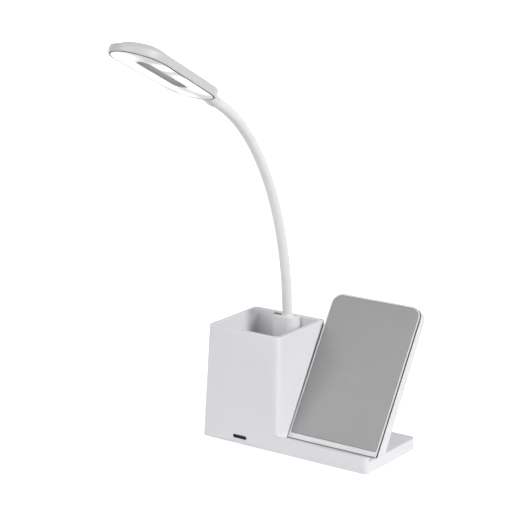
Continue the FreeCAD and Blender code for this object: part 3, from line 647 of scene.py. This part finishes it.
# Each screw goes on from its head's rim to a narrower shank
def makeCoverScrews():
    face = screwFace()
    flat = np.array([1.0, 1.0, 0.0])
    narrow = flat * baseSet["screwShank"]
    for number in range(1, baseSet["screws"] + 1):
        node = "cover_screw_%d" % number
        low, high = (np.array(corner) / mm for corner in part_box(node))
        headBase = low[2] + baseSet["screwTall"]
        rows = [face, face[-1:] * flat, face[-1:] * narrow, face[-1:] * narrow]
        rows[3] = rows[3] + (0.0, 0.0, high[2] - headBase)
        middle = np.array([(low[0] + high[0]) / 2, (low[1] + high[1]) / 2, headBase])
        grid = (np.concatenate(rows) + middle) * mm
        piece = makePiece("coverScrew%d" % number, grid, steel, capFirst=False)
        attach(piece, "base")
        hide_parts(node)


# The housing and its cover are the nodes with rounded edges; mat and screws are made anew
def makeBase():
    softened("housing", "moulding", white, baseSet["edge"] * mm)
    softened("bottom_cover", "coverPlate", underGrey, baseSet["coverEdge"] * mm, 2)
    makeMat()
    makeCoverScrews()
    print("base made")


# Stand: shell, front frame, dark seam and grey pad, in millimetres and degrees
standSet = {
    "lean": 32.5,
    "seamFoot": -21.8,
    "plateTop": 9.9,
    "left": -3.2,
    "right": 75.5,
    "length": 118.0,
    "radius": 8.7,
    "footCorner": 0.5,
    "leastCorner": 0.05,
    "perCorner": 12,
    "shellEdge": 0.7,
    "seamWidth": 1.15,
    "seamInset": -0.06,
    "seamLow": -0.9,
    "seamDepth": 0.8,
    "seamOverlap": 0.05,
    "seamRise": 0.02,
    "frameTop": 1.4,
    "frameEdge": 0.25,
    "frameFloor": 0.5,
    "border": 1.3,
    "footBorder": 4.0,
    "recessEdge": 0.25,
    "recessRound": 0.07,
    "padTop": 1.45,
    "padEdge": 0.4,
    "padGap": 0.18,
    "footRadius": 1.5,
}


# From the stand's own place (across, up the slope, out of its front) to metres in the frame:
# a turn by the lean, then a move to the slope's foot
def onSlope(across, along, out):
    lean = math.radians(standSet["lean"])
    y = standSet["seamFoot"] + math.sin(lean) * along - math.cos(lean) * out
    z = standSet["plateTop"] + math.cos(lean) * along + math.sin(lean) * out
    return np.stack([across + 0 * y, y, z], -1) * mm


# A rounded outline on the slope with one radius at the top and another at the foot
def slopeLoop(inset, foot, top, topRadius, footRadius):
    west, east = standSet["left"] + inset, standSet["right"] - inset
    corners = [
        (east - topRadius, top - topRadius, 0, topRadius),
        (west + topRadius, top - topRadius, 90, topRadius),
        (west + footRadius, foot + footRadius, 180, footRadius),
        (east - footRadius, foot + footRadius, 270, footRadius),
    ]
    count = standSet["perCorner"]
    arcs = [arcPoints((x, y), radius, turn, turn + 90, count) for x, y, turn, radius in corners]
    return np.concatenate(arcs)


# A sheet on the slope: its outline at each inset and height out of the front. The margins bring
# in the foot and all corners of a smaller sheet
def slopeSlab(sections, footMargin=0.0, sideMargin=0.0, footRadius=None):
    s = standSet
    corner = s["footCorner"] if footRadius is None else footRadius
    loops = []
    for inset, out in sections:
        loop = slopeLoop(
            sideMargin + inset,
            footMargin + inset,
            s["length"] - sideMargin - inset,
            max(s["radius"] - sideMargin - inset, s["leastCorner"]),
            max(corner - inset, s["leastCorner"]),
        )
        loops.append(onSlope(loop[:, 0], loop[:, 1], np.full(len(loop), out)))
    return np.array(loops)


# The seam's filler is a closed ring round the outline in a near-black finish, painted shade for the
# shade in the seam's gap, so it shows as a thin dark line
def makeStandSeam():
    s = standSet
    inner, outer = s["seamDepth"] - s["seamOverlap"], s["seamInset"]
    low, high = s["seamLow"], s["seamWidth"] + s["seamRise"]
    ring = slopeSlab([(inner, low), (outer, low), (outer, high), (inner, high)])
    piece = makePiece("standSeam", ring, seamPaintedShade, ring=True)
    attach(piece, "base")


# The frame: outer side, rounded front edge, border, and the wall of the pad's recess
def makeStandFront():
    s = standSet
    depth, step = s["seamDepth"], s["seamWidth"]
    sides = [(depth, s["seamRise"]), (depth, step), (0.0, step)]
    sides += rimSections(0.0, step, s["frameTop"], s["frameEdge"])[1:]
    recess = [
        (-s["recessEdge"], s["frameTop"]),
        (-s["recessRound"], s["frameTop"] - s["recessRound"]),
        (0.0, s["frameTop"] - s["recessEdge"]),
        (0.0, s["frameFloor"]),
    ]
    wall = slopeSlab(recess, s["footBorder"], s["border"], s["footRadius"])
    grid = np.concatenate([slopeSlab(sides), wall])
    piece = makePiece("standFront", grid, white)
    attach(piece, "base")
    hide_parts("stand_frame")


# The pad: a thin sheet with a rounded rim, just inside the recess; its foot corners stay one size
def makeStandPad():
    s = standSet
    gap = s["padGap"]
    loops = []
    for inset, out in rimSections(0.0, s["frameFloor"], s["padTop"], s["padEdge"]):
        side = s["border"] + gap + inset
        loop = slopeLoop(
            side,
            s["footBorder"] + gap + inset,
            s["length"] - side,
            s["radius"] - side,
            s["footRadius"] - gap,
        )
        loops.append(onSlope(loop[:, 0], loop[:, 1], np.full(len(loop), out)))
    piece = makePiece("standPad", np.array(loops), padRubber)
    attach(piece, "base")
    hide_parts("stand_pad")


# The shell is the node with rounded edges; seam, front and pad are sheets on its slope
def makeStand():
    softened("stand_shell", "standBack", white, standSet["shellEdge"] * mm)
    makeStandSeam()
    makeStandFront()
    makeStandPad()
    print("stand made")


# Touch key beside the neck, in millimetres
keySet = {"edge": 0.12, "edgeRows": 4, "radius": 0.9}


# The key is a level slab with an arc round its upper edge
def makeKey():
    low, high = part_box("touch_key")
    sections = rimSections(0.0, low.z / mm, high.z / mm, keySet["edge"], keySet["edgeRows"])
    grid = levelSlab("touch_key", sections, keySet["radius"])
    piece = makePiece("touchKey", grid, keyGloss)
    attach(piece, "base")
    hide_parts("touch_key")
    print("touch key made")


# Neck: one smooth tube, in five stretches, in millimetres and degrees
neckSet = {
    # Where the neck leaves the pillar: back from the middle, and up
    "foot": (23.8, 89.9),
    "lean": 3.5,
    # Length of each run in millimetres, and how far it turns in degrees
    "runs": ((16.0, 0.0), (20.3, 5.0), (58.9, 13.0), (60.0, 17.0), (58.0, 24.8)),
    "tail": 20.0,
    "fineSteps": 20001,
    "radius": 4.0,
    "sides": 48,
    "sink": 1.5,
    "intoHead": 5.5,
    "names": ("root", "low", "middle", "upper", "end"),
    "bodies": ("base", "low_run", "middle_run", "upper_run", "end_run", "lamp_head"),
    # How far each bend reaches before and after its joint
    "bends": ((7.0, 7.0), (8.0, 10.0), (10.0, 10.0), (10.0, 10.0), (9.0, 2.6)),
}


# The centreline in its upright plane: the heading turns evenly along each run, and the place is
# the sum of small steps along the heading
def neckLine(distance):
    lengths, turns = np.array(neckSet["runs"]).T
    lean, tail = neckSet["lean"], neckSet["tail"]
    knots = np.concatenate([[-tail, 0.0], np.cumsum(lengths), [lengths.sum() + tail]])
    angles = np.concatenate([[lean, lean], lean + np.cumsum(turns), [lean + turns.sum()]])
    fine = np.linspace(knots[0], knots[-1], neckSet["fineSteps"])
    heading = np.radians(np.interp(fine, knots, angles))
    step = fine[1] - fine[0]
    middle = (heading[1:] + heading[:-1]) / 2
    y = np.concatenate([[0.0], np.cumsum(-np.sin(middle) * step)])
    z = np.concatenate([[0.0], np.cumsum(np.cos(middle) * step)])
    y += neckSet["foot"][0] - np.interp(0.0, fine, y)
    z += neckSet["foot"][1] - np.interp(0.0, fine, z)
    place = np.stack([np.interp(distance, fine, y), np.interp(distance, fine, z)], -1)
    return place, np.radians(np.interp(distance, knots, angles))


# Rings of the tube about the centreline: radius times (cos, sin) across the heading
def tubeGrid(distance):
    place, heading = neckLine(distance)
    turn = np.linspace(0, 2 * math.pi, neckSet["sides"], endpoint=False)
    across = neckSet["radius"] * np.cos(turn)
    outward = neckSet["radius"] * np.sin(turn)
    y = place[:, 0:1] + outward * np.cos(heading)[:, None]
    z = place[:, 1:2] + outward * np.sin(heading)[:, None]
    x = jointPlace["head_bend"][0] / mm + across + 0 * y
    return np.stack([x, y, z], -1) * mm


# A point on the centreline, in metres in the frame
def linePoint(distance):
    place = neckLine(np.array([distance]))[0]
    return (jointPlace["head_bend"][0], place[0, 0] * mm, place[0, 1] * mm)


# Each stretch runs from the middle of one run to the middle of the next
def makeNeckTubes():
    s = neckSet
    lengths = np.array(s["runs"])[:, 0]
    joints = np.cumsum(lengths)
    middles = joints[:-1] + lengths[1:] / 2
    cuts = np.concatenate([[-s["sink"]], middles, [joints[-1] + s["intoHead"]]])
    for index, name in enumerate(s["names"]):
        start, end = cuts[index], cuts[index + 1]
        grid = tubeGrid(np.linspace(start, end, int(round(end - start)) + 1))
        piece = makePiece("neckTube" + name.capitalize(), grid, silicone)
        before, after = s["bends"][index]
        bendStart = linePoint(joints[index] - before)
        bendEnd = linePoint(joints[index] + after)
        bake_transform(piece)
        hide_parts("neck_sleeve_" + name)


ringSet = {
    "inner": 3.8,
    "outer": 4.95,
    "sides": 64,
    "tall": 0.9,
    "edge": 0.4,
    "edgeRows": 5,
    "lip": 4.12,
    "groove": 0.3,
}


# The thin ring at the neck's foot: a section with a rounded upper edge, turned about the neck
def makeNeckRing():
    s = ringSet
    bendCentre, top = s["outer"] - s["edge"], s["tall"] - s["edge"]
    profile = [(s["inner"], 0.0), (s["outer"], 0.0), (s["outer"], top)]
    bend = arcPoints((bendCentre, top), s["edge"], 10, 90, s["edgeRows"])
    profile += [tuple(point) for point in bend]
    profile += [(s["lip"], s["tall"]), (s["inner"], s["tall"] - s["groove"])]
    turn = np.linspace(0, 2 * math.pi, s["sides"], endpoint=False)
    radius, rise = np.array(profile).T[:, :, None]
    x = jointPlace["head_bend"][0] / mm + radius * np.cos(turn)
    y = neckSet["foot"][0] + radius * np.sin(turn)
    z = neckSet["foot"][1] + rise + 0 * turn
    grid = np.stack([x, y, z], -1) * mm
    piece = makePiece("neckRing", grid, white, ring=True)
    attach(piece, "base")
    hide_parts("neck_ferrule")


# The neck's five tubes and the ring at its foot
def makeNeck():
    makeNeckTubes()
    makeNeckRing()
    print("neck made")


# Lamp head: rim and top, socket and lit face, in millimetres and degrees
headSet = {
    "angle": 63.3,
    # Place along the head and radius of its two round ends, then both ends and radius of the hole
    "back": (32.5, 19.9),
    "front": (92.1, 23.1),
    "hole": (45.5, 86.9, 5.3),
    "wall": 1.3,
    "low": -3.3,
    "high": 3.8,
    # Height of the dome at the tail and the tip, where it starts to grow and over what length
    "crown": (0.3, 3.5, 60.0, 40.0),
    # Where the top's edge starts to fall, over what length and how far
    "tipDrop": (92.0, 23.0, 1.2),
    # How far the upper edge's rounding reaches in and down
    "edge": (4.0, 2.0),
    "topRows": 22,
    "edgeRows": 12,
    "sideShares": (0.25, 0.5, 0.75),
    "lip": 0.3,
    "lipRows": 4,
    "rimStep": 0.15,
    "skirt": 1.6,
    "holeWall": 1.0,
    "holeEdge": 0.6,
    "holeRows": 5,
    # The hole wall's foot: growth of its outline and height over the cover's lowest level
    "holeFoot": ((0.0, 0.35), (0.1, 0.1), (0.35, 0.0), (0.9, 0.0), (1.0, 0.15), (1.0, 1.6)),
    "wallBand": 0.12,
    "wallTop": 3.6,
    "faceLow": -3.5,
    "faceGap": 0.75,
    "faceHoleGap": 0.25,
    "faceCrown": 0.15,
    "crownPower": 16,
    # Rows across the face: shares of its width near an edge, then the first even row and their count
    "faceNear": (0.0, 0.012, 0.03),
    "faceEven": (0.06, 23),
    "faceBack": 1.4,
    # Width and proud height of the near-black sleeve of painted shade round the lit face
    "shadeSleeveWidth": 0.2,
    "shadeSleeveProud": 0.2,
}


# From the head's own place (across, along from the last joint, up) to metres in the frame: a
# turn by the head's angle, then a move to the joint
def onHead(across, along, up):
    tip = math.radians(headSet["angle"])
    place = jointPlace["head_bend"] / mm
    x = place[0] + across
    y = place[1] - np.sin(tip) * along + np.cos(tip) * up
    z = place[2] + np.cos(tip) * along + np.sin(tip) * up
    return np.stack([x, y, z], -1) * mm


# A slot outline: front arc, straight side, back arc, straight side, always the same count
def slotLoop(back, backRadius, front, frontRadius, perArc=56, perSide=44):
    lean = math.degrees(math.asin((frontRadius - backRadius) / (front - back)))
    tip = arcPoints((0, front), frontRadius, -lean, 180 + lean, perArc)
    tail = arcPoints((0, back), backRadius, 180 + lean, 360 - lean, perArc)
    share = np.linspace(0, 1, perSide + 2)[1:-1, None]
    left = tip[-1] + (tail[0] - tip[-1]) * share
    right = tail[-1] + (tip[0] - tail[-1]) * share
    return np.concatenate([tip, left, tail, right])


# The cover's outer outline, brought in by an inset
def outerLoop(inset):
    back, front = headSet["back"], headSet["front"]
    return slotLoop(back[0], back[1] - inset, front[0], front[1] - inset)


# The hole's outline, grown outwards
def holeLoop(growth):
    back, front, radius = headSet["hole"]
    return slotLoop(back, radius + growth, front, radius + growth)


# The inner side of the cover's wall, where the lit face begins
def windowLoop(inset):
    return outerLoop(headSet["wall"] + inset)


# The top's edge falls near the tip, with the square of the distance
def topLevel(along):
    start, reach, drop = headSet["tipDrop"]
    return headSet["high"] - drop * np.clip((along - start) / reach, 0, 1) ** 2


# The top swells as a parabola between its two edges, and more towards the tip
def topSwell(along, share):
    tail, tip, start, reach = headSet["crown"]
    crown = tail + (tip - tail) * np.clip((along - start) / reach, 0, 1)
    return crown * (1 - (2 * share - 1) ** 2)


# A loop of the head at one height, or at a height for each point
def headRow(loop, up):
    return onHead(loop[:, 0], loop[:, 1], up + np.zeros(len(loop)))


# The cover is a closed ring: its section runs from the lip round the outer side, over the
# crowned top and down the hole's wall, and back behind the lit face
def makeHeadCover():
    s = headSet
    low, step = s["low"], s["rimStep"]
    rows = [headRow(windowLoop(0.0), low + s["skirt"]), headRow(windowLoop(0.0), low + step)]
    rows += [headRow(windowLoop(-step), low), headRow(outerLoop(s["lip"]), low)]
    for x, y in arcPoints((0, 0), s["lip"], 270, 360, s["lipRows"])[1:]:
        rows.append(headRow(outerLoop(s["lip"] - x), low + s["lip"] + y))
    outline = outerLoop(0.0)
    edgeIn, edgeTall = s["edge"]
    bottom = low + s["lip"]
    tall = topLevel(outline[:, 1]) - edgeTall - bottom
    rows += [headRow(outline, bottom + tall * share) for share in s["sideShares"]]
    for x, y in arcPoints((0, 0), 1.0, 0, 90, s["edgeRows"]):
        loop = outerLoop(edgeIn * (1 - x))
        rows.append(headRow(loop, topLevel(loop[:, 1]) - edgeTall * (1 - y)))
    start, end = outerLoop(edgeIn), holeLoop(s["holeEdge"])
    for share in np.linspace(0, 1, s["topRows"])[1:-1]:
        loop = start + (end - start) * share
        rows.append(headRow(loop, topLevel(loop[:, 1]) + topSwell(loop[:, 1], share)))
    for x, y in arcPoints((0, 0), s["holeEdge"], 90, 0, s["holeRows"]):
        loop = holeLoop(s["holeEdge"] - x)
        rows.append(headRow(loop, topLevel(loop[:, 1]) - s["holeEdge"] + y))
    rows += [headRow(holeLoop(growth), low + rise) for growth, rise in s["holeFoot"]]
    grid = np.array(rows)
    piece = makePiece("headCover", grid, headWhite, ring=True, sharp=30.0)
    paintHoleWallShade(piece)
    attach(piece, "lamp_head")
    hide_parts("head_cover")


# Painted shade on the hole's wall: the head's white plastic greyed for the shade inside the narrow hole,
# on the faces whose middle lies on the hole's outline
def paintHoleWallShade(piece):
    across, along, up = headPlaces(piece.data.polygons, "center").T
    back, front, radius = headSet["hole"]
    reach = np.hypot(across, along - np.clip(along, back, front))
    wall = (np.abs(reach - radius) < headSet["wallBand"]) & (up < headSet["wallTop"])
    piece.data.materials.append(holeWallPaintedShade)
    piece.data.polygons.foreach_set("material_index", wall.astype(np.int32))


# Places of a piece's points or faces, seen from the head: across, along and up, in mm
def headPlaces(items, name):
    place = np.zeros(len(items) * 3)
    items.foreach_get(name, place)
    place = place.reshape(-1, 3) / mm - jointPlace["head_bend"] / mm
    tip = math.radians(headSet["angle"])
    along = -np.sin(tip) * place[:, 1] + np.cos(tip) * place[:, 2]
    up = np.cos(tip) * place[:, 1] + np.sin(tip) * place[:, 2]
    return np.stack([place[:, 0], along, up], -1)


# The lit face is a thin ring. It bulges by one less a high power of the distance from the middle
# of its width, so it is flat except near its edges
def makeLitFace():
    s = headSet
    outer, inner = windowLoop(s["faceGap"]), holeLoop(s["holeWall"] + s["faceHoleGap"])
    back = s["low"] + s["faceBack"]
    rows = []
    near = np.array(s["faceNear"])
    first, count = s["faceEven"]
    for share in np.concatenate([near, np.linspace(first, 1 - first, count), 1 - near[::-1]]):
        swell = s["faceCrown"] * (1 - abs(2 * share - 1) ** s["crownPower"])
        rows.append(headRow(outer + (inner - outer) * share, s["faceLow"] + s["faceCrown"] - swell))
    rows += [headRow(inner, back), headRow(outer, back)]
    grid = np.array(rows)
    piece = makePiece("litFace", grid, milk, ring=True, sharp=50.0)
    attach(piece, "lamp_head")
    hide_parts("diffuser")
    addShine(piece)


# A thin sleeve round the face in the near-black seam finish, painted shade for the dark line in the gap
# between rim and face: a four-sided section
def makePaintedShadeSleeve():
    s = headSet
    outside, inside = windowLoop(s["faceGap"] - s["shadeSleeveWidth"]), windowLoop(s["faceGap"])
    front, back = s["faceLow"] + s["faceCrown"] - s["shadeSleeveProud"], s["low"] + s["faceBack"]
    places = ((inside, back), (inside, front), (outside, front), (outside, back))
    grid = np.array([headRow(loop, up) for loop, up in places])
    piece = makePiece("paintedShadeSleeve", grid, seamPaintedShade, ring=True)
    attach(piece, "lamp_head")


# Light at each point of the face: a sum of oval bell curves, each the exponential of minus the
# squared distance from its middle, and one faint warm spot near the neck
def addShine(piece):
    across, along = headPlaces(piece.data.vertices, "co").T[:2]

    def spot(place):
        return ((across - place[0]) / place[2]) ** 2 + ((along - place[1]) / place[3]) ** 2

    glow = sum(place[4] * np.exp(-spot(place)) for place in shineSet["spots"])
    warm = shineSet["warm"]
    warmth = warm[4] * np.exp(-spot(warm))
    for name, values in (("shine", np.clip(glow, 0, 1)), ("warmth", warmth)):
        attribute = piece.data.attributes.new(name, "FLOAT", "POINT")
        attribute.data.foreach_set("value", values.astype(np.float32))


# Socket between neck and head, in millimetres from the last joint
socketSet = {
    "start": -0.6,
    "firstSteps": (-0.6, -0.55, -0.3, 0.1, 0.6, 1.2),
    # The even steps after the first ones: from, to and how many
    "steps": (2.0, 15.0, 24),
    "sides": 64,
    "radius": 4.02,
    # Length and height of the first step, then where the swell starts and how long it is
    "lead": (1.8, 0.34),
    "swell": (1.2, 13.0),
    "wider": 0.75,
    "topFall": 0.45,
    # Height and length of the bulge below, then depth and radius of the bore
    "belly": (0.3, 11.0),
    "underFall": 1.1,
    "bore": (7.0, 3.92),
}


# The socket is rings about the head's axis. After a quarter-round step out from the neck, a smooth
# step makes them wider and flatter, more so below, where a sine adds a slight belly. A bore leaves
# room inside for the neck's core when the last joint bends
def makeSocket():
    s = socketSet
    along = np.concatenate([s["firstSteps"], np.linspace(*s["steps"])])
    leadLong, leadTall = s["lead"]
    start = np.clip((along - s["start"]) / leadLong, 0, 1)
    lead = s["radius"] + leadTall * np.sqrt(np.clip(1 - (1 - start) ** 2, 0, 1))
    share = np.clip((along - s["swell"][0]) / s["swell"][1], 0, 1)
    ease = share * share * (3 - 2 * share)
    wide = lead + s["wider"] * ease
    high = lead - s["topFall"] * ease
    bellyTall, bellyLong = s["belly"]
    belly = bellyTall * np.sin(np.pi * np.clip((along - s["start"]) / bellyLong, 0, 1))
    low = lead + belly - s["underFall"] * ease
    turn = np.linspace(0, 2 * math.pi, s["sides"], endpoint=False)
    cosine, sine = np.cos(turn)[None, :], np.sin(turn)[None, :]
    x = wide[:, None] * cosine
    z = np.where(sine > 0, high[:, None], low[:, None]) * sine
    skin = onHead(x, along[:, None] + 0 * x, z)
    depth, radius = s["bore"]
    deep = np.array([[depth], [s["start"]]]) + 0 * cosine
    bore = onHead(radius * np.repeat(cosine, 2, 0), deep, radius * np.repeat(sine, 2, 0))
    grid = np.concatenate([bore, skin])
    piece = makePiece("headSocket", grid, socketWhite)
    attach(piece, "lamp_head")
    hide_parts("head_socket")


# The head's four pieces all ride on the last body
def makeHead():
    makeHeadCover()
    makeLitFace()
    makePaintedShadeSleeve()
    makeSocket()
    print("head made")


lightSet = {
    # Where each soft sun stands, its strength and how wide it is in degrees
    "suns": (
        ("keyLight", (0.87, 0.0, 0.49), 2.4, 24),
        ("fillLight", (-0.35, -0.85, 0.40), 1.38, 46),
    ),
    "skyStrength": 0.26,
}


# Two wide soft suns and a faint even sky, which the camera and gloss see as white
def makeLight():
    for name, source, strength, angle in lightSet["suns"]:
        sun = bpy.data.objects.new(name, bpy.data.lights.new(name, "SUN"))
        bpy.context.scene.collection.objects.link(sun)
        sun.data.energy = strength
        sun.data.angle = math.radians(angle)
        sun.rotation_euler = (-Vector(source)).to_track_quat("-Z", "Y").to_euler()
    world = bpy.data.worlds.new("studio")
    bpy.context.scene.world = world
    world.use_nodes = True
    world.node_tree.nodes.remove(world.node_tree.nodes["Background"])
    graph = Graph(world.node_tree)
    pale = (1.0, 1.0, 1.0, 1.0)
    sky = graph.make("Background", {}, {"Color": pale, "Strength": lightSet["skyStrength"]})
    shown = graph.make("Background", {}, {"Color": pale, "Strength": 1.0})
    graph.show(graph.make("MixShader", {}, {0: graph.seen(), 1: sky, 2: shown}), "World Output")
    print("lights made")


floorSet = {
    "size": 6.0,
    "rows": 9,
    "below": 0.0002,
    "clouds": (30.0, 2.0),
    "lift": 0.85,
    "light": (0.87, 0.87, 0.88),
    "dark": (0.85, 0.85, 0.86),
    "roughness": 0.9,
}


# The floor looks white to the camera and in gloss, and it keeps the object's shadow
def makeFloor():
    s = floorSet
    finish = Finish("paleFloor")
    color = finish.blendColor(finish.noise(*s["clouds"]), s["dark"], s["light"])
    finish.set(color=color, roughness=s["roughness"], level=0.0)
    glow = {"Color": (1, 1, 1, 1), "Strength": finish.seen() * s["lift"]}
    lift = finish.make("Emission", {}, glow)
    total = finish.make("AddShader", {}, {0: Wire(finish, finish.shader.outputs[0]), 1: lift})
    finish.show(total, "Material Output")
    spread = np.linspace(-s["size"] / 2, s["size"] / 2, s["rows"])
    x, y = np.meshgrid(spread, spread, indexing="ij")
    grid = np.stack([x, y, 0 * x - s["below"]], -1).reshape(-1, 3)
    mesh = bpy.data.meshes.new("floor")
    mesh.from_pydata(grid.tolist(), [], gridQuads(s["rows"], s["rows"], False, False).tolist())
    mesh.materials.append(finish.material)
    floor = bpy.data.objects.new("floor", mesh)
    bpy.context.scene.collection.objects.link(floor)
    print("floor made")


makeCamera()
dressNodes()
makeBase()
makeStand()
makeKey()
makeNeck()
makeHead()
makeLight()
makeFloor()

bpy.context.scene.view_settings.view_transform = "Standard"
bpy.context.view_layer.update()
